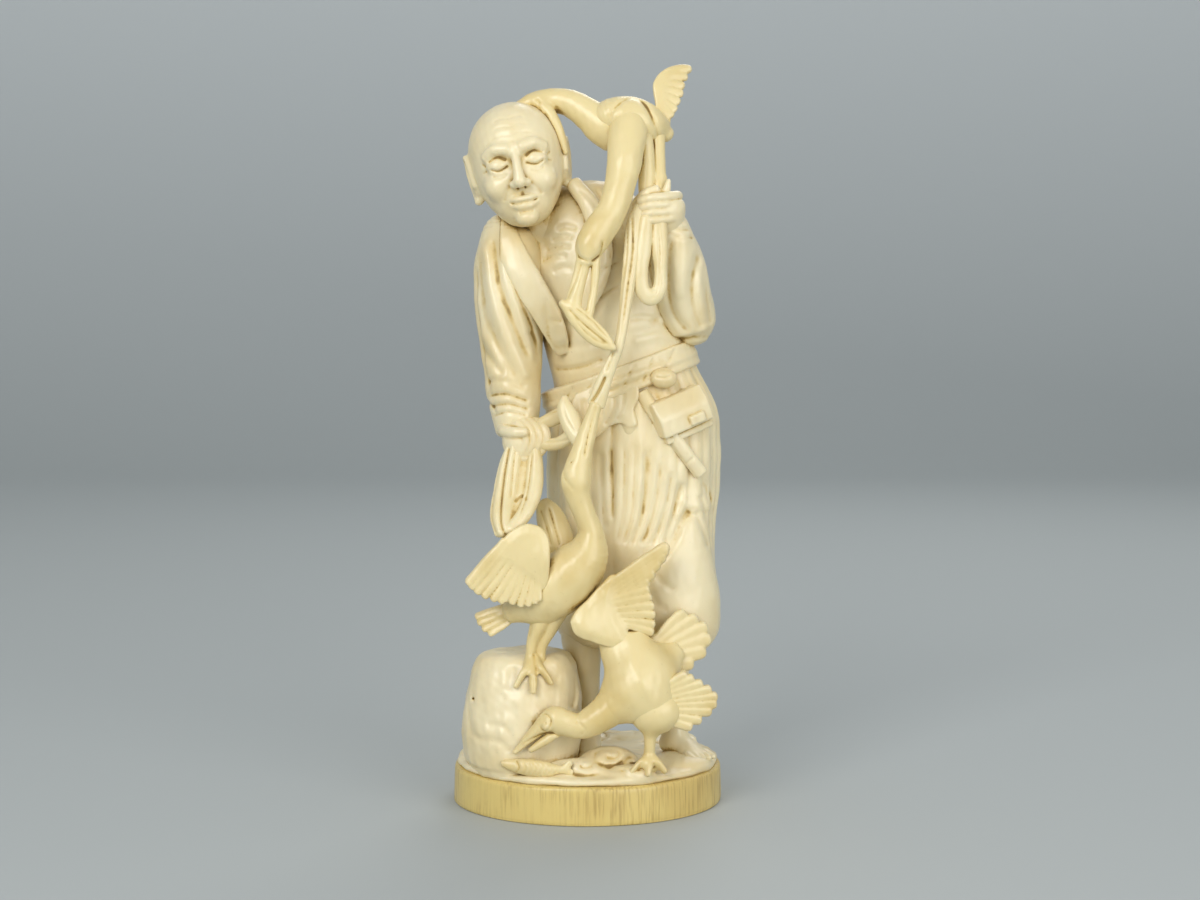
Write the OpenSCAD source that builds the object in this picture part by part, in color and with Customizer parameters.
// Ivory carving of a cormorant fisherman with three birds, on an oval base.
// Millimetres. The origin is the middle of the underside of the base disc, +Z is up,
// the figure faces -Y and +X is to the viewer's right.

/* [Base] */
// Width of the oval base disc
base_w = 88.5; // [88:0.5:100]
// Depth of the oval base disc
base_d = 77.6; // [77:0.2:90]
// Height of the base disc
disc_h = 12.2; // [9:0.1:20]
// Height of the ground block that stands on the disc
ground_h = 3.3; // [2.8:0.1:6]
// How far the ground block stays inside the edge of the disc
ground_inset = 1.4; // [0.8:0.1:2]
// Height of the rolling water in front of the figure, above the ground
wave_h = 4.5; // [3:0.1:6]

/* [Head] */
// Width of the bald head, without the ears
head_w = 31; // [28:0.2:34]
// Depth of the head from brow to back
head_d = 35; // [32:0.2:38]
// Height of the head from chin to crown
head_h = 41; // [38:0.2:43]
// Lean of the head towards the viewer's left, in degrees
head_tilt = 11; // [6:1:16]
// Height of an ear
ear_h = 12; // [9:0.2:14]
// Thickness of an ear
ear_t = 3; // [2:0.1:4]

/* [Dress] */
// Slope of the waist joint and of the sash, in degrees
waist_tilt = 20; // [16:1:24]
// Height of the sash
sash_h = 9; // [7:0.2:11]
// How far the sash stands out from the robe
sash_t = 1.4; // [1:0.1:2.4]
// Thickness of the hanging flap of cloth
flap_t = 2; // [1.4:0.1:3]
// Depth of the pleats of the trousers
pleat_t = 0.9; // [0.3:0.1:1.4]
// Number of pleats all round the trousers
pleats = 14; // [8:1:18]

/* [Belongings] */
// Width of the tobacco pouch
pouch_w = 20.4; // [17:0.2:22]
// Height of the tobacco pouch
pouch_h = 13.4; // [11:0.2:14.6]
// Thickness of the tobacco pouch
pouch_t = 4.6; // [3.6:0.1:6]
// Width of the toggle bead above the pouch
bead_w = 8.8; // [6.4:0.2:10]
// Height of the toggle bead
bead_h = 7; // [5:0.2:8]
// Thickness of the toggle bead
bead_t = 6; // [5:0.2:8]
// Width of the pipe case that hangs under the pouch
case_w = 4.8; // [3.6:0.1:6]
// Thickness of the pipe case
case_t = 5.6; // [4:0.1:7]

/* [Leashes] */
// Width of one strap of the long leash
strap_w = 3.6; // [2.8:0.1:4.4]
// Thickness of the leash straps, front to back
strap_t = 3.2; // [2.4:0.1:4]
// Width of the two straps that the lower hand holds
hand_strap_w = 4; // [3:0.1:5]

/* [Birds] */
// Thickness of the middle bird's wings
middle_wing_t = 4.6; // [3.4:0.1:6]
// Thickness of the upper bird's wing
upper_wing_t = 4.4; // [3.2:0.1:5.6]
// Thickness of the lower bird's raised wing
raised_wing_t = 6.4; // [5:0.1:8]
// Thickness of the lower bird's folded wing
folded_wing_t = 5; // [4:0.1:6.4]
// Thickness of the birds' tails
tail_t = 3.6; // [2.6:0.1:5]
// Width of the birds' shanks
shank_w = 3.2; // [2.4:0.1:4]

/* [Pegs] */
// Diameter of the pegs between the disc, the ground, the rock and the legs
base_peg_d = 4; // [3:0.1:5]
// Length of the pegs between the disc and the ground
base_peg_l = 8; // [6:0.2:9]
// Length of the pegs that stand in the ground and carry the rock and the legs
standing_peg_l = 13; // [10:0.2:16]
// Diameter of the waist peg
waist_peg_d = 8; // [6:0.2:10]
// Length of the waist peg
waist_peg_l = 26; // [20:0.5:32]
// Diameter of the neck peg
neck_peg_d = 5; // [4:0.1:6]
// Length of the neck peg
neck_peg_l = 20; // [16:0.5:24]
// Diameter of the wrist pegs
wrist_peg_d = 3; // [2:0.1:4]
// Length of the wrist pegs
wrist_peg_l = 9; // [7:0.2:11]
// Diameter of the pins under the birds
bird_pin_d = 1.6; // [1.2:0.1:2]
// Length of the pins under the birds
bird_pin_l = 8; // [6:0.2:9]
// Gap between a peg and the wall of its bore
peg_gap = 0.05; // [0.02:0.01:0.1]

/* [Hidden] */

ivory = "#efe3b8";
cream = "#e9dba6";
old_ivory = "#d9c078";

// Top of the ground, and how far the figure rises from the height its rows are drawn for
ground_z = disc_h + ground_h;
drawn_ground_z = 15.5;
lift = ground_z - drawn_ground_z;
// Middle of the waist joint, in the height of the rows
waist_at = [11, 6, 138.5];
// Middle of the head and of the neck joint
head_at = [-22, -6, 207.2];
neck_at = [-14.4, 2, 189];
// A reach that is larger than the whole carving
far = 200;
// Corners round the oval
oval_n = 72;
// How deep the pegs stand in the ground block
peg_foot = ground_h * 0.7;
// Places of the three pegs under the ground, and of those under rock, right leg and left leg
base_peg_at = [[-16, 22], [24, 22], [6, -27]];
rock_peg_at = [-22, -12];
right_leg_peg_at = [0.4, 0];
left_leg_peg_at = [29, -4];
// Places of the wrist joints, with the lean of each peg in degrees
right_wrist_at = [-21.6, -8.4, 123.4];
right_wrist_lean = -38;
left_wrist_at = [25.2, -10.6, 188.6];
left_wrist_lean = 40;
// Places of the pins under the middle, lower and upper bird
middle_pin_at = [-18.1, -24.2, 48.8];
lower_pin_at = [19.8, -31, 17.4];
upper_pin_at = [21, -13.9, 196.6];

// Smooth curves and swept surfaces

function unit(v) = v / norm(v);
function place(row) = [row[0], row[1], row[2]];

// A point between b and c on the smooth curve through a, b, c and d, at share t
function spline(a, b, c, d, t) =
    0.5 * (2 * b + (c - a) * t + (2 * a - 5 * b + 4 * c - d) * t * t
    + (3 * b - a - 3 * c + d) * t * t * t);

// Rows filled in with a smooth curve, with the given number of steps between rows
function smooth(rows, steps) =
    let (last = len(rows) - 1)
    concat(
        [for (i = [0:last - 1], s = [0:steps - 1])
            spline(rows[max(i - 1, 0)], rows[i], rows[i + 1], rows[min(i + 2, last)], s / steps)],
        [rows[last]]);

// Direction of the path at row i
function heading(rows, i) =
    unit(place(rows[min(i + 1, len(rows) - 1)]) - place(rows[max(i - 1, 0)]));

// One ring of n points. A row is [x, y, z, half width, half depth]
function ring(row, t, across, n, ripple, waves) =
    let (side = unit(cross(across, t)), front = cross(t, side))
    [for (i = [0:n - 1])
        let (a = 360 * i / n, grow = ripple * cos(waves * a))
        place(row) + side * (max(row[3], 0.3) + grow) * cos(a)
        + front * (max(row[4], 0.3) + grow) * sin(a)];

// A closed solid along rows, smooth from row to row. across is the direction of its depth
module sweep(rows, n = 12, steps = 2, across = [0, 1, 0], ripple = 0, waves = 0) {
    path = smooth(rows, steps);
    last = len(path) - 1;
    points = [for (k = [0:last])
        each ring(path[k], heading(path, k), across, n, ripple, waves)];
    walls = [for (k = [0:last - 1], i = [0:n - 1])
        let (a = k * n + i, b = k * n + (i + 1) % n, c = b + n, d = a + n)
        each [[a, d, c], [a, c, b]]];
    start = [[for (i = [0:n - 1]) i]];
    finish = [[for (i = [n - 1:-1:0]) last * n + i]];
    polyhedron(points, concat(start, walls, finish));
}

// An egg with the half sizes given in size
module egg(size, n = 14, rings = 7) {
    rows = [for (i = [0:rings])
        let (a = -84 + 168 * i / rings)
        [0, 0, size[2] * sin(a), size[0] * cos(a), size[1] * cos(a)]];
    sweep(rows, n, 1);
}

// Joins its children into one carved surface
module carved() resize([0, 0, 0]) children();

// What stands on the ground is drawn for one ground height and rises with the real one
module raised() translate([0, 0, lift]) children();

// Oval outline, smaller all round by inset
module oval(inset = 0)
    polygon([for (i = [0:oval_n - 1])
        [(base_w / 2 - inset) * cos(360 * i / oval_n), (base_d / 2 - inset) * sin(360 * i / oval_n)]]);

// Everything above the sloping waist joint
module above_waist()
    translate(waist_at) rotate([0, -waist_tilt, 0])
        translate([-far, -far, 0]) cube([2 * far, 2 * far, far]);

// A peg of diameter d and length l, half of it on each side of the joint
module peg(d, l) translate([0, 0, -l / 2]) cylinder(d = d, h = l, $fn = 48);
// The bore of that peg
module bore(d, l) peg(d + 2 * peg_gap, l + 2 * peg_gap);

// A webbed toe from the foot to its tip, arched in the middle
module toe_of(foot, tip)
    sweep([
        concat(foot, [1.8, 1.6]), concat((foot + tip) / 2 + [0, -0.5, 0.8], [1.8, 1.4]),
        concat(tip, [1.2, 0.9])], 8, 1, [0, 0.5, 1]);

// Forms of the base

module slab_form()
    translate([0, 0, disc_h]) linear_extrude(ground_h) oval(ground_inset);

module wave_form()
    translate([0, 0, ground_z]) {
        for (roll = [[-2, -28, 13, 5, 1], [6, -24, 11, 6, 1.25], [9, -14, 10, 8, 0.8],
                [30, -12, 9, 9, 0.6], [-8, 24, 20, 8, 0.5], [24, 22, 13, 9, 0.5]])
            translate([roll[0], roll[1], 0]) egg([roll[2], roll[3], wave_h * roll[4]], 12, 5);
    }

module rock_form() raised()
    intersection() {
        sweep([
            [-20, -12, 11, 16, 17], [-21, -12, 17, 18.4, 18.6], [-21, -12, 27, 19.2, 19],
            [-20.6, -12, 36, 18.8, 17.8], [-20, -12, 43.6, 17.2, 15.8], [-19.6, -12, 48.6, 15, 13.4],
            [-19, -12, 51.6, 11, 10]], 14, 2);
        translate([-far, -far, drawn_ground_z]) cube(2 * far);
    }

module fish_form() raised()
    sweep([
        [-24.6, -30.6, 18, 0.9, 0.8], [-22, -31.2, 17.4, 2.2, 1.6], [-17, -32.4, 17, 2.7, 2],
        [-12, -33, 16.8, 2.2, 1.6], [-8.6, -33, 16.8, 1.4, 1], [-6, -33, 17, 2.4, 0.8]], 10, 2);

// Forms of the man

// The trousers, with the bag of cloth that swells over the left knee
module trousers_form() raised() {
    sweep([
        [15.6, 8, 50.4, 21, 16], [16.2, 8, 52.4, 25, 19], [16.2, 8, 58, 27.6, 21.4],
        [15.4, 8, 68, 28, 22], [14.6, 8, 86, 27.7, 22], [15.2, 8, 104, 28.7, 21.8],
        [15.4, 7.4, 118, 28.5, 20.8], [15.6, 7, 129, 27, 19.4], [14.4, 6.6, 139, 23.2, 17.8],
        [12.6, 6, 150, 20, 16.2], [12, 6, 156, 17, 14]], 56, 1, [0, 1, 0], pleat_t * 0.5, pleats);
    sweep([
        [35, -6.6, 99, 1.6, 1.4], [33.2, -6, 92, 5.4, 4.6], [31, -5, 84, 9.6, 7.6],
        [29.4, -4.4, 74, 12.8, 9.8], [28.8, -4, 64, 14.6, 10.8], [28.8, -3.4, 56, 13.8, 10.2],
        [28.6, -2, 51.6, 11, 7.6]], 18, 1);
}

module torso_form() raised() {
    sweep([
        [15, 6, 118, 19, 15], [12.4, 6, 131, 21.6, 16.6], [10.4, 6, 144, 22.8, 17.6],
        [8, 6, 157, 23.8, 17.8], [4, 5.6, 171, 25, 17.2], [-2, 5, 183, 23.6, 15.4],
        [-7, 4, 190, 17.4, 12], [-10, 3.4, 194.6, 11, 9], [-11.6, 3, 197, 5, 5]], 24, 2);
    // The left shoulder and the collar behind the neck
    sweep([
        [-14.6, 4.2, 187, 6, 7], [-9, 4.6, 190.4, 9.6, 9.6], [-3, 5, 192.2, 10.4, 10.4],
        [4, 5.4, 192.8, 10.4, 10.6], [10, 6, 191, 9, 9.6], [14.6, 6.4, 188, 6, 7]], 16, 2);
}

// The sash runs round the waist, square to the slope
module sash_form() raised()
    translate(waist_at) rotate([0, -waist_tilt, 0]) translate([0, 0.6, 0.4 - sash_h / 2])
        sweep([
            [-0.6, 0, 0, 25.2 + sash_t, 18.8 + sash_t], [-0.4, 0, 1.2, 25.6 + sash_t, 19.2 + sash_t],
            [0.6, 0, sash_h / 2, 24.6 + sash_t, 18.6 + sash_t],
            [1.4, 0, sash_h - 1.2, 23.2 + sash_t, 18 + sash_t],
            [1.4, 0, sash_h, 22.6 + sash_t, 17.4 + sash_t]], 24, 1);

module flap_form() raised()
    translate([7, -11.4 - flap_t, 128]) rotate([90, 0, 0]) translate([0, 0, -8])
        linear_extrude(8 + flap_t)
            polygon([[-9, 5], [-2, 8.4], [5.6, 9.4], [7.4, 1], [8.4, -3.4], [4.4, -3.6],
                [0, -5.4], [-4.4, -9.4], [-8, -10.4]]);

module right_leg_form() raised() {
    sweep([
        [-1.4, 5, 62, 7.4, 8], [-1.8, 4, 54, 7.2, 7.8], [-1.6, 3, 48, 6.4, 7], [-0.4, 2, 40, 4.8, 5.6],
        [0.2, 1, 32, 4, 5], [0.4, 0, 24, 4, 5.4], [0.4, -1, 18, 4.6, 6.6], [0.4, -1, 13.5, 4.8, 7]], 12, 1);
    sweep([[0.4, 6, 17, 3.6, 3], [0.4, -2, 18.4, 4.6, 4], [0.2, -10.2, 17.1, 4.9, 2.8],
        [0.4, -14, 16, 3.6, 1.6]], 12, 2, [0, 0, 1]);
}

module left_leg_form() raised() {
    sweep([
        [27, 8, 62, 8, 8], [27.4, 7, 54, 7.4, 7.6], [28, 5, 44, 6, 6.6], [28.6, 2, 34, 4.8, 5.6],
        [29, -2, 26, 4.4, 5.4], [29, -4, 19, 4.8, 6], [29, -4.6, 13.5, 5, 6.4]], 12, 1);
    sweep([[25.4, 0, 18, 3.8, 3.4], [30, -7, 19.4, 4.8, 4.4], [35, -11, 18.4, 5.2, 3.4],
        [39.4, -13.4, 16.6, 3.4, 1.8]], 10, 2, [0, 0, 1]);
}

module right_sleeve_form() raised()
    sweep([
        [-24, 3, 190.4, 3.6, 5], [-25.6, 2, 186, 8.8, 9.4], [-25, 0.6, 179, 11.6, 12],
        [-25.2, -1, 167, 11.8, 13], [-24.7, -2.4, 151, 10.8, 12.6], [-24, -4.4, 137, 9.4, 11],
        [-23, -6.4, 127, 8, 9], [-22.4, -8, 121.6, 6.4, 7]], 18, 2);

module left_sleeve_form() raised() {
    sweep([
        [4.6, 5.4, 192, 6, 7.6], [9.4, 5.8, 190.6, 9.4, 10.2], [16.6, 6, 184, 11.8, 12.4],
        [26, 5.4, 170, 12, 12.6], [33, 4, 158.6, 9, 10.6], [35, 3, 152.6, 5, 6.6]], 16, 2);
    sweep([
        [34.4, 2, 149.4, 4.4, 5.6], [33.6, 1.6, 154.4, 8.8, 9.6], [30.6, -1, 164, 10.2, 11],
        [29, -4.4, 175, 9.4, 10.4], [26.8, -8.6, 185, 6.8, 7.6], [25.8, -10.4, 189, 5.4, 5.8]], 16, 2);
}

module right_hand_form() raised() {
    sweep([
        [-21.6, -6.6, 126, 5, 5], [-21.2, -10, 123.4, 6.4, 6.2], [-20.8, -13.4, 120, 7.2, 6.6],
        [-20.6, -15.4, 116, 6.8, 5.8], [-20.6, -16, 113, 4.6, 4]], 14, 2);
}

module left_hand_form() raised() {
    sweep([
        [25.8, -8.6, 185.6, 5, 5], [24.6, -11.4, 188.6, 7.4, 5.8], [23.2, -13.6, 192, 8.8, 6],
        [22.6, -14.4, 195, 7.2, 5.2], [22.4, -14.6, 197.4, 4.2, 3.6]], 14, 2);
    sweep([[24.6, -16, 194, 1.6, 1.6], [25.6, -16.2, 198, 1.3, 1.3], [26, -16, 200, 0.8, 0.8]], 8, 2);
}

module ear_form(side)
    translate([side * (head_w / 2 - 0.7), 2.5, -4.3]) rotate([0, side * 8, 0])
        egg([ear_t / 2 + 0.6, 3.4, ear_h / 2], 10, 6);

module head_form() raised() {
    translate(head_at) rotate([0, -head_tilt, 0]) {
        // Skull and jaw
        translate([0, 1.4, head_h * 0.1]) egg([head_w / 2, head_d / 2, head_h * 0.4], 18, 8);
        translate([0, -2, -head_h * 0.17]) egg([head_w * 0.42, head_d * 0.42, head_h * 0.33], 16, 7);
        // Nose
        translate([0, -head_d * 0.49, -head_h * 0.1]) egg([2.4, 3, 4.6], 10, 6);
        for (side = [-1, 1]) ear_form(side);
    }
    sweep([[-17.6, 2, 196, 8.4, 8.4], [-15.6, 1.6, 190.6, 8, 8], [-13.6, 2, 185.4, 8, 8],
        [-12.4, 3, 181, 7, 7]], 14, 2);
}

// Forms of the belongings

module bead_form() raised()
    translate([24.6, -12.4, 139]) egg([bead_w / 2, bead_t / 2, bead_h / 2], 14, 6);

module pouch_form() raised()
    translate([29.8, -9.8, 128]) rotate([0, 0, 26]) rotate([90, -20, 0])
        translate([0, 0, -5]) linear_extrude(5 + pouch_t)
            polygon([[-pouch_w / 2, pouch_h / 2 - 0.6], [-pouch_w / 2 + 1, pouch_h / 2],
                [pouch_w / 2 - 1, pouch_h / 2], [pouch_w / 2, pouch_h / 2 - 1],
                [pouch_w / 2 + 0.6, -pouch_h / 2 + 1], [pouch_w / 2 - 0.4, -pouch_h / 2],
                [-pouch_w / 2 + 3, -pouch_h / 2], [-pouch_w / 2 + 1.8, -pouch_h / 2 + 1]]);

module case_form() raised()
    sweep([
        [17.4, -11.6, 134.6, case_w / 2, case_t / 2], [20.6, -12.4, 129.4, case_w / 2, case_t / 2],
        [26.4, -12.4, 121.8, case_w / 2, case_t / 2], [32.2, -10.8, 114.2, case_w / 2, case_t / 2],
        [37.2, -8.6, 107.8, case_w / 2, case_t / 2]], 12, 2);

// Forms of the upper bird

module upper_body_form() raised()
    sweep([
        [3.4, -8, 220.6, 4, 4.6], [7.4, -8.4, 222, 6.2, 7], [13, -8, 221.6, 7.6, 8.2],
        [18.6, -6.6, 220, 7, 7.6], [23, -5, 218.4, 4.8, 5.4], [25.6, -4.4, 217, 2.4, 3]], 16, 2);

module upper_neck_form() raised() {
    sweep([
        [8.4, -8, 217.4, 7, 6.4], [4.6, -8, 219.8, 6.6, 6], [0.6, -7.2, 223.2, 5.5, 5.2],
        [-5.2, -5.6, 226.9, 4.6, 4.6], [-11.4, -4.6, 228, 4, 4.3], [-17.4, -5, 227.2, 3.4, 4],
        [-21.6, -5.6, 225.8, 2, 3]], 12, 2);
    sweep([
        [-15.4, -7, 227, 2, 2.4], [-11.6, -9, 222.6, 2.2, 2.6], [-8.6, -9.4, 216.6, 1.8, 2.2],
        [-6.8, -8.6, 210.6, 1.2, 1.6]], 10, 2);
}

module upper_wing_form() raised()
    sweep([
        [24, -4, 216.6, 2.4, upper_wing_t * 0.5], [25.6, -2.6, 222.6, 4.4, upper_wing_t * 0.56],
        [26.3, -1, 229, 5.2, upper_wing_t * 0.5], [27.6, 1, 234.2, 5.8, upper_wing_t * 0.46],
        [29.8, 2.6, 237.6, 4.4, upper_wing_t * 0.4], [31.6, 3.6, 239.6, 1.8, upper_wing_t * 0.3]], 12, 2);

module upper_leg_form() raised() {
    sweep([
        [13, -11, 220, 4.8, 4.6], [12.8, -15.4, 216, 6, 5.2], [11.8, -18.4, 208, 5.8, 5],
        [10.4, -20.6, 199.6, 5.1, 4.7], [7.8, -22.8, 191.6, 4.9, 4.5], [3.8, -24.8, 185.2, 5.2, 4.6],
        [1, -26, 180.2, 4.8, 4.3], [-0.2, -26.6, 176, 2.8, 2.9]], 12, 1);
    sweep([[-0.6, -26.6, 178, shank_w * 0.78, 1.8], [-2.4, -27, 170, shank_w * 0.8, 1.8],
        [-4, -27.4, 163, shank_w * 0.84, 1.7], [-3.4, -28, 159.6, shank_w * 0.7, 1.6]], 8, 2);
    sweep([[3, -26, 177.4, 1.4, 1.4], [2.4, -26.6, 168, 1.4, 1.3], [0.8, -27.6, 159, 1.4, 1.3]], 8, 2);
    sweep([
        [-6, -27.6, 162.6, 1.4, 1.2], [-3, -28.2, 160.4, 2.6, 1.6], [1, -28.6, 157, 3.3, 1.7],
        [5, -28.6, 153.4, 3.2, 1.5], [9, -28.2, 150, 1.4, 1.2]], 12, 2);
}

module upper_held_leg_form() raised() {
    sweep([[18, -10, 221, 1.8, 2.2], [20.8, -12, 214, 1.7, 2], [21.4, -13, 206, 1.6, 1.9],
        [21, -13.6, 200, 1.6, 1.9], [21, -14, 195, 1.5, 1.8]], 10, 1);
    sweep([[23.6, -6, 218, 2.2, 2.4], [24.8, -8.6, 210, 2, 2.2], [24.2, -11.4, 203, 1.8, 2.2],
        [23.6, -13, 197.4, 1.8, 2], [23.4, -14, 194, 1.6, 1.8]], 10, 1);
    sweep([[21, -12.6, 203.6, 1.2, 1.4], [22.8, -12, 202, 1.6, 1.6], [24.4, -11.6, 202.6, 1.2, 1.4]], 8, 2,
        [0, 1, 0]);
}

// Forms of the leashes

module long_leash_form() raised() {
    sweep([
        [16.6, -17, 193, strap_w / 2, strap_t / 2], [14.6, -18.4, 188, strap_w * 0.7, strap_t / 2],
        [13.8, -20.4, 178, strap_w * 0.74, strap_t / 2], [12.8, -22.4, 168, strap_w * 0.66, strap_t / 2],
        [11.6, -24, 158, strap_w * 0.54, strap_t / 2], [10.2, -25, 150, strap_w * 0.5, strap_t / 2],
        [7.8, -25, 144, strap_w * 0.58, strap_t / 2], [5.4, -25, 138.4, strap_w * 0.72, strap_t / 2],
        [3.4, -25, 133, strap_w * 0.86, strap_t / 2], [2.8, -25, 131, strap_w * 0.9, strap_t / 2]], 10, 2);
}

module leash_loop_form() raised()
    sweep([
        [18.8, -18.2, 190, strap_w * 0.56, strap_t / 2], [17.6, -19.6, 181, strap_w * 0.64, strap_t / 2],
        [16.8, -20.6, 173, strap_w * 0.6, strap_t / 2], [17.2, -20.8, 167.4, strap_w * 0.64, strap_t / 2],
        [20.1, -20.6, 164.4, strap_w * 0.72, strap_t / 2], [22.8, -20.2, 167.4, strap_w * 0.62, strap_t / 2],
        [23.3, -19.6, 174, strap_w * 0.56, strap_t / 2], [23.2, -18.6, 182, strap_w * 0.64, strap_t / 2],
        [23, -17.4, 190, strap_w * 0.64, strap_t / 2]], 10, 1);

module leash_knot_form() raised()
    sweep([
        [-7.2, -19.6, 133.6, 1.2, 1.4], [-6.8, -20.6, 130, 3, 2.2], [-4.6, -22, 125, 3.6, 2.6],
        [-2.6, -23.4, 120.6, 3, 2.4], [-1.6, -24, 117, 1.6, 1.6]], 10, 2);

module hand_straps_form() raised() {
    sweep([
        [-17.4, -14.4, 124, 1.6, 1.8], [-14, -15, 125.4, hand_strap_w * 0.46, 1.9],
        [-10, -16.2, 127.2, hand_strap_w * 0.56, 2], [-6.6, -18, 128.8, hand_strap_w * 0.56, 2]], 10, 2);
    sweep([
        [-17, -15.6, 117.6, 1.5, 1.8], [-13, -17, 118, hand_strap_w * 0.42, 1.8],
        [-8.6, -18.8, 118.6, hand_strap_w * 0.42, 1.8],
        [-4.4, -21.6, 121.4, hand_strap_w * 0.4, 1.7]], 10, 2);
}

module hanging_leash_form() raised() {
    sweep([
        [-22.8, -16, 117, 3, 2.4], [-24.6, -18, 111, 3.7, 2.5], [-26, -21.6, 103, 3.9, 2.4],
        [-27, -25.6, 96.4, 3.7, 2.3], [-26.4, -29.6, 90.6, 2.6, 2]], 10, 2);
    sweep([
        [-16.8, -16, 117.6, 2, 2.2], [-16.4, -18, 111, 2.7, 2.2], [-16.8, -21.4, 104, 2.9, 2.1],
        [-19.2, -25.2, 97.4, 2.6, 2], [-23.8, -29, 91.6, 2.2, 1.9]], 10, 2);
}

// Forms of the middle bird

module middle_body_form() raised()
    sweep([
        [2.8, -25, 131, 2.2, 2], [1.6, -25, 127, 2.4, 2.2], [0, -25.2, 121.6, 2.9, 2.6],
        [-1.6, -25.6, 116, 3.6, 3.2], [-3.2, -26, 108.4, 4.9, 4.4], [-2.8, -26, 103, 4.2, 4],
        [-0.8, -25.6, 97, 3.7, 3.8], [1.2, -25, 91, 4.2, 4.6], [0, -24.6, 84, 7.4, 7.4],
        [-5.4, -24, 77, 9.8, 9.2], [-12, -23.4, 71.6, 9.4, 9], [-18.4, -22.4, 67.8, 6.8, 7],
        [-24, -21.4, 65, 3.6, 4]], 16, 2);

module middle_near_wing_form() raised()
    sweep([
        [-9.6, -30.6, 82, 8.4, middle_wing_t * 0.5], [-16.4, -32.4, 81.4, 12.4, middle_wing_t * 0.54],
        [-23.4, -32.6, 80, 11.4, middle_wing_t * 0.5], [-30, -31.6, 78.2, 7.8, middle_wing_t * 0.42],
        [-36.6, -30.4, 75.6, 2.6, middle_wing_t * 0.26]], 14, 2);

module middle_far_wing_form() raised()
    sweep([
        [-7.4, -18, 80, 4, middle_wing_t * 0.5], [-9.4, -16, 88, 5.2, middle_wing_t * 0.5],
        [-12, -14.4, 95, 4.6, middle_wing_t * 0.44], [-14.4, -13.6, 99.4, 2.6, middle_wing_t * 0.34]], 12, 2);

module middle_tail_form() raised()
    sweep([
        [-20, -22, 67, 4.4, 4], [-26, -20.6, 63.4, 4, tail_t * 0.66], [-32, -19.2, 59.6, 3.8, tail_t * 0.5],
        [-37, -18, 56.2, 3.2, tail_t * 0.36]], 12, 2);

module middle_legs_form() raised() {
    sweep([
        [-13.4, -23.4, 68, 4, 4], [-15, -23.6, 62, 3.2, 3.4], [-17.4, -23.6, 56, shank_w * 0.6, 2],
        [-18, -24, 51.6, shank_w * 0.56, 1.9], [-18.4, -25, 47.6, 2, 2]], 10, 2);
    sweep([
        [-8.4, -22.6, 67, 3.4, 3.4], [-11.4, -22.4, 60.4, 2.6, 2.8],
        [-14.2, -22.4, 54.6, shank_w * 0.54, 1.8], [-14.8, -22.6, 50, shank_w * 0.54, 1.8],
        [-14.6, -23, 47, 1.8, 1.8]], 10, 2);
    for (toe = [[-22.6, -28.8, 44], [-17, -29.8, 43], [-11.4, -27.6, 45]])
        toe_of([-17, -23, 50], toe);
}

// Forms of the lower bird

module lower_body_form() raised() {
    translate([13.8, -29.2, 49.6]) egg([7, 6.4, 8.6], 15, 7);
    sweep([
        [11.6, -30, 42.6, 6.4, 6], [17, -29.4, 43.4, 9.4, 8], [23, -28, 45.6, 10.6, 9],
        [28, -25.6, 49.4, 8.4, 7.4], [31.6, -23, 53.4, 4, 4]], 14, 2);
}

// Thigh, shank and webbed foot
module lower_leg_form() raised() {
    translate([21.4, -31.4, 35.4]) egg([7.8, 6.2, 7], 14, 7);
    sweep([[20.6, -31.4, 31, 3.4, 3.2], [20, -31.2, 26.6, shank_w * 0.64, 2.1],
        [19.8, -31, 21, shank_w * 0.6, 2], [19.8, -31, 17, 2.6, 2.4]], 12, 2);
    for (toe = [[14.4, -32.4, 16.4], [19.2, -33.6, 16.2], [24.4, -31, 16.4]])
        toe_of([19.8, -30.6, 19], toe);
}

module lower_neck_form() raised() {
    sweep([
        [17, -30, 41.6, 6.4, 6], [10.6, -31.4, 36, 5.8, 5.2], [4.4, -32, 32, 4.8, 4.4],
        [-2, -32, 30.4, 4, 3.8], [-7, -32, 31.2, 4.1, 3.8], [-11, -32, 31.4, 4.2, 3.8],
        [-14.6, -32, 29.4, 3.3, 3.2], [-17.6, -32, 26, 2.2, 2.4], [-20.6, -32, 23, 1.6, 1.7],
        [-23, -32, 21, 0.9, 1]], 12, 2);
    sweep([[-8.4, -32.4, 28.4, 1.7, 1.8], [-12.6, -32.8, 25.2, 1.5, 1.6], [-17, -33, 21.6, 1, 1.2]], 8, 2);
}

module lower_raised_wing_form() raised()
    sweep([
        [17, -28.4, 50, 6.4, raised_wing_t * 0.5], [12.4, -28.6, 56, 10, raised_wing_t * 0.56],
        [8, -28.6, 63, 13.2, raised_wing_t * 0.58], [7.8, -28.4, 70, 12, raised_wing_t * 0.56],
        [10.6, -27.6, 77, 10, raised_wing_t * 0.5], [16.4, -26.4, 83, 7.8, raised_wing_t * 0.42],
        [21, -25.4, 86.6, 4, raised_wing_t * 0.28]], 16, 2);

module lower_folded_wing_form() raised()
    sweep([
        [24.3, -31.8, 39.3, 5.2, folded_wing_t * 0.6], [30, -32, 38.6, 7, folded_wing_t * 0.6],
        [36, -30, 37.8, 6.6, folded_wing_t * 0.46], [41.4, -27.4, 37.2, 3.2, folded_wing_t * 0.3]], 14, 2);

module lower_tail_form() raised()
    sweep([
        [25.6, -23, 50.6, 5, 4], [29.6, -21, 55, 5.8, tail_t * 0.66], [34, -19, 59.4, 5.8, tail_t * 0.5],
        [37.4, -17.6, 62.6, 4.8, tail_t * 0.34]], 12, 2);

// Forms that the waist joint cuts

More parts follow.
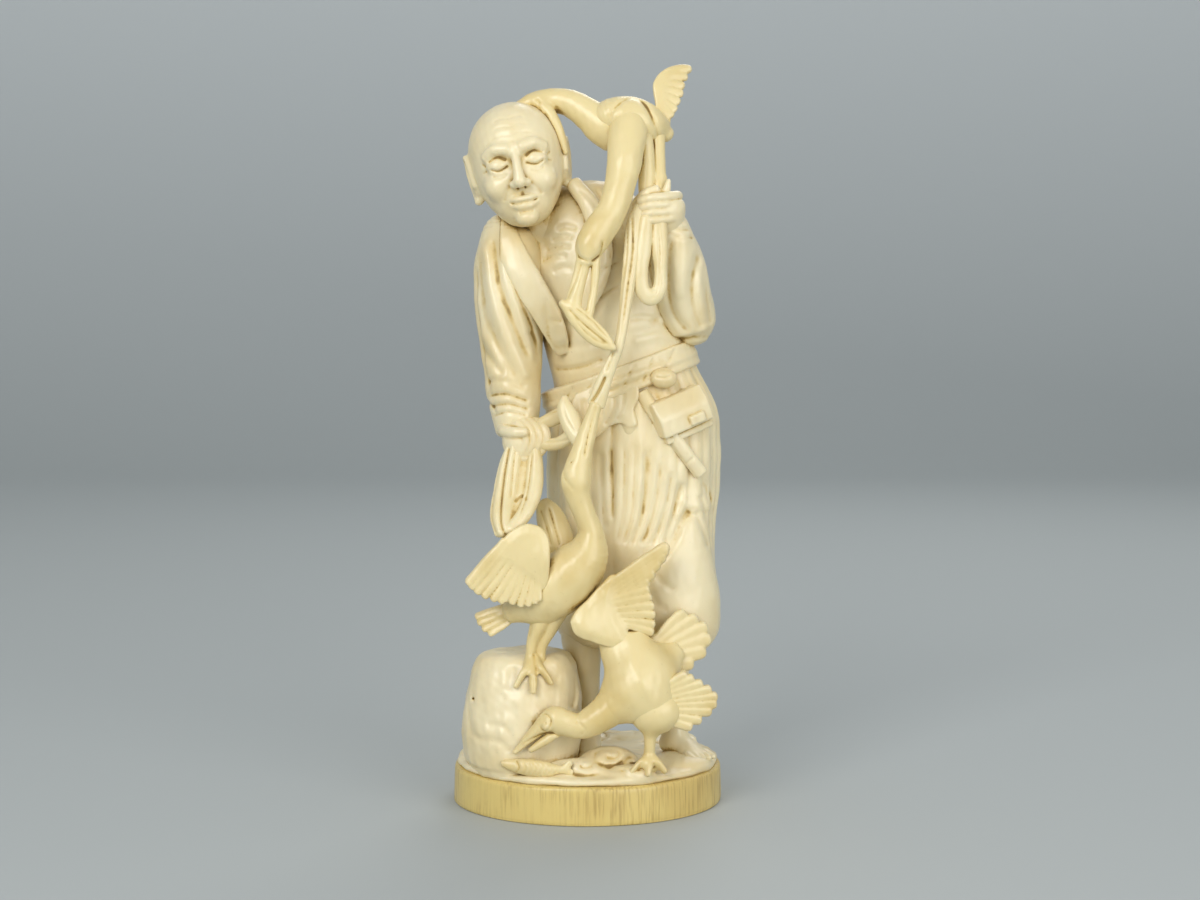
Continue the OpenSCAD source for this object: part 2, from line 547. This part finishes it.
module trousers_cut() difference() { trousers_form(); raised() above_waist(); }
module torso_cut() intersection() { torso_form(); raised() above_waist(); }
module figure_cut() {
    trousers_cut();
    torso_cut();
    intersection() {
        trousers_form();
        torso_form();
    }
}
module ground_form() {
    slab_form();
    intersection() {
        wave_form();
        translate([0, 0, disc_h]) linear_extrude(far) oval(ground_inset);
    }
}

// Pegs in their places

module base_peg_places() for (at = base_peg_at)
    translate([at[0], at[1], disc_h + peg_foot - base_peg_l / 2]) children();
module standing_peg_place(at)
    translate([at[0], at[1], ground_z - peg_foot + standing_peg_l / 2]) children();
module standing_peg_places() for (at = [rock_peg_at, right_leg_peg_at, left_leg_peg_at])
    standing_peg_place(at) children();
module waist_place() raised() translate(waist_at) rotate([0, -waist_tilt, 0]) children();
module neck_place() raised() translate(neck_at) rotate([0, -16, 0]) children();
module right_wrist_place() raised() translate(right_wrist_at) rotate([right_wrist_lean, 0, 0]) children();
module left_wrist_place() raised() translate(left_wrist_at) rotate([left_wrist_lean, 0, 0]) children();
module bird_pin_place(at) raised() translate(at) children();

// The nodes

module base_disc() color(old_ivory) difference() {
    linear_extrude(disc_h) oval();
    base_peg_places() bore(base_peg_d, base_peg_l);
}

module base_pegs() color(cream) base_peg_places() peg(base_peg_d, base_peg_l);

module ground() color(cream) difference() {
    carved() difference() {
        ground_form();
        rock_form();
    }
    base_peg_places() bore(base_peg_d, base_peg_l);
    standing_peg_places() bore(base_peg_d, standing_peg_l);
    bird_pin_place(lower_pin_at) bore(bird_pin_d, bird_pin_l);
}

module standing_pegs() color(cream) standing_peg_places() peg(base_peg_d, standing_peg_l);

module rock() color(ivory) difference() {
    carved() rock_form();
    standing_peg_place(rock_peg_at) bore(base_peg_d, standing_peg_l);
    bird_pin_place(middle_pin_at) bore(bird_pin_d, bird_pin_l);
}

module fish() color(cream) carved() difference() {
    fish_form();
    ground_form();
    rock_form();
}

module right_leg() color(ivory) difference() {
    carved() difference() {
        right_leg_form();
        trousers_cut();
        ground_form();
        rock_form();
    }
    standing_peg_place(right_leg_peg_at) bore(base_peg_d, standing_peg_l);
}

module left_leg() color(ivory) difference() {
    carved() difference() {
        left_leg_form();
        trousers_cut();
        ground_form();
    }
    standing_peg_place(left_leg_peg_at) bore(base_peg_d, standing_peg_l);
}

module trousers() color(ivory) difference() {
    carved() trousers_cut();
    waist_place() bore(waist_peg_d, waist_peg_l);
}

module waist_peg() color(cream) waist_place() peg(waist_peg_d, waist_peg_l);

module torso() color(ivory) difference() {
    carved() torso_cut();
    waist_place() bore(waist_peg_d, waist_peg_l);
    neck_place() bore(neck_peg_d, neck_peg_l);
}

module sash() color(ivory) carved() difference() {
    sash_form();
    figure_cut();
}

module apron_flap() color(ivory) carved() difference() {
    flap_form();
    figure_cut();
    sash_form();
}

module right_sleeve() color(ivory) difference() {
    carved() difference() {
        right_sleeve_form();
        figure_cut();
        sash_form();
    }
    right_wrist_place() bore(wrist_peg_d, wrist_peg_l);
}

module left_sleeve() color(ivory) difference() {
    carved() difference() {
        left_sleeve_form();
        figure_cut();
        sash_form();
    }
    left_wrist_place() bore(wrist_peg_d, wrist_peg_l);
}

module right_hand() color(ivory) difference() {
    carved() difference() {
        right_hand_form();
        right_sleeve_form();
    }
    right_wrist_place() bore(wrist_peg_d, wrist_peg_l);
}

module left_hand() color(ivory) difference() {
    carved() difference() {
        left_hand_form();
        left_sleeve_form();
    }
    left_wrist_place() bore(wrist_peg_d, wrist_peg_l);
    bird_pin_place(upper_pin_at) bore(bird_pin_d, bird_pin_l);
}

module wrist_pegs() color(cream) {
    right_wrist_place() peg(wrist_peg_d, wrist_peg_l);
    left_wrist_place() peg(wrist_peg_d, wrist_peg_l);
}

module neck_peg() color(cream) neck_place() peg(neck_peg_d, neck_peg_l);

module head() color(ivory) difference() {
    carved() difference() {
        head_form();
        torso_cut();
        right_sleeve_form();
        left_sleeve_form();
    }
    neck_place() bore(neck_peg_d, neck_peg_l);
}

module toggle_bead() color(cream) carved() difference() {
    bead_form();
    figure_cut();
    sash_form();
}

module tobacco_pouch() color(cream) carved() difference() {
    pouch_form();
    figure_cut();
    sash_form();
    bead_form();
    case_form();
}

module pipe_case() color(cream) carved() difference() {
    case_form();
    figure_cut();
    sash_form();
    bead_form();
    flap_form();
}

module upper_bird_body() color(ivory) carved() upper_body_form();

module upper_bird_neck() color(ivory) carved() difference() {
    upper_neck_form();
    upper_body_form();
    head_form();
}

module upper_bird_wing() color(ivory) carved() difference() {
    upper_wing_form();
    upper_body_form();
}

module upper_bird_leg() color(ivory) carved() difference() {
    upper_leg_form();
    upper_body_form();
}

module upper_bird_held_leg() color(ivory) difference() {
    carved() difference() {
        upper_held_leg_form();
        upper_body_form();
        upper_wing_form();
        upper_leg_form();
        left_hand_form();
    }
    bird_pin_place(upper_pin_at) bore(bird_pin_d, bird_pin_l);
}

module long_leash() color(ivory) carved() difference() {
    long_leash_form();
    left_hand_form();
    upper_leg_form();
    middle_body_form();
}

module leash_loop() color(ivory) carved() difference() {
    leash_loop_form();
    left_hand_form();
    left_sleeve_form();
    long_leash_form();
}

module leash_knot() color(ivory) carved() difference() {
    leash_knot_form();
    middle_body_form();
    long_leash_form();
}

module hand_straps() color(ivory) carved() difference() {
    hand_straps_form();
    right_hand_form();
    leash_knot_form();
    middle_body_form();
}

module hanging_leash() color(ivory) carved() difference() {
    hanging_leash_form();
    right_hand_form();
    middle_near_wing_form();
}

module middle_bird_body() color(ivory) carved() middle_body_form();

module middle_bird_near_wing() color(ivory) carved() difference() {
    middle_near_wing_form();
    middle_body_form();
}

module middle_bird_far_wing() color(ivory) carved() difference() {
    middle_far_wing_form();
    middle_body_form();
}

module middle_bird_tail() color(ivory) carved() difference() {
    middle_tail_form();
    middle_body_form();
}

module middle_bird_legs() color(ivory) difference() {
    carved() difference() {
        middle_legs_form();
        middle_body_form();
        rock_form();
    }
    bird_pin_place(middle_pin_at) bore(bird_pin_d, bird_pin_l);
}

module lower_bird_body() color(ivory) carved() lower_body_form();

module lower_bird_leg() color(ivory) difference() {
    carved() difference() {
        lower_leg_form();
        lower_body_form();
        ground_form();
    }
    bird_pin_place(lower_pin_at) bore(bird_pin_d, bird_pin_l);
}

module lower_bird_neck() color(ivory) carved() difference() {
    lower_neck_form();
    lower_body_form();
    lower_leg_form();
    fish_form();
    rock_form();
    ground_form();
}

module lower_bird_raised_wing() color(ivory) carved() difference() {
    lower_raised_wing_form();
    lower_body_form();
    middle_body_form();
}

module lower_bird_folded_wing() color(ivory) carved() difference() {
    lower_folded_wing_form();
    lower_body_form();
    lower_leg_form();
}

module lower_bird_tail() color(ivory) carved() difference() {
    lower_tail_form();
    lower_body_form();
    lower_raised_wing_form();
    figure_cut();
}

module bird_pins() color(cream)
    for (at = [middle_pin_at, lower_pin_at, upper_pin_at])
        bird_pin_place(at) peg(bird_pin_d, bird_pin_l);

base_disc();
base_pegs();
ground();
standing_pegs();
rock();
fish();
right_leg();
left_leg();
trousers();
waist_peg();
torso();
sash();
apron_flap();
right_sleeve();
left_sleeve();
right_hand();
left_hand();
wrist_pegs();
neck_peg();
head();
toggle_bead();
tobacco_pouch();
pipe_case();
upper_bird_body();
upper_bird_neck();
upper_bird_wing();
upper_bird_leg();
upper_bird_held_leg();
long_leash();
leash_loop();
leash_knot();
hand_straps();
hanging_leash();
middle_bird_body();
middle_bird_near_wing();
middle_bird_far_wing();
middle_bird_tail();
middle_bird_legs();
lower_bird_body();
lower_bird_leg();
lower_bird_neck();
lower_bird_raised_wing();
lower_bird_folded_wing();
lower_bird_tail();
bird_pins();
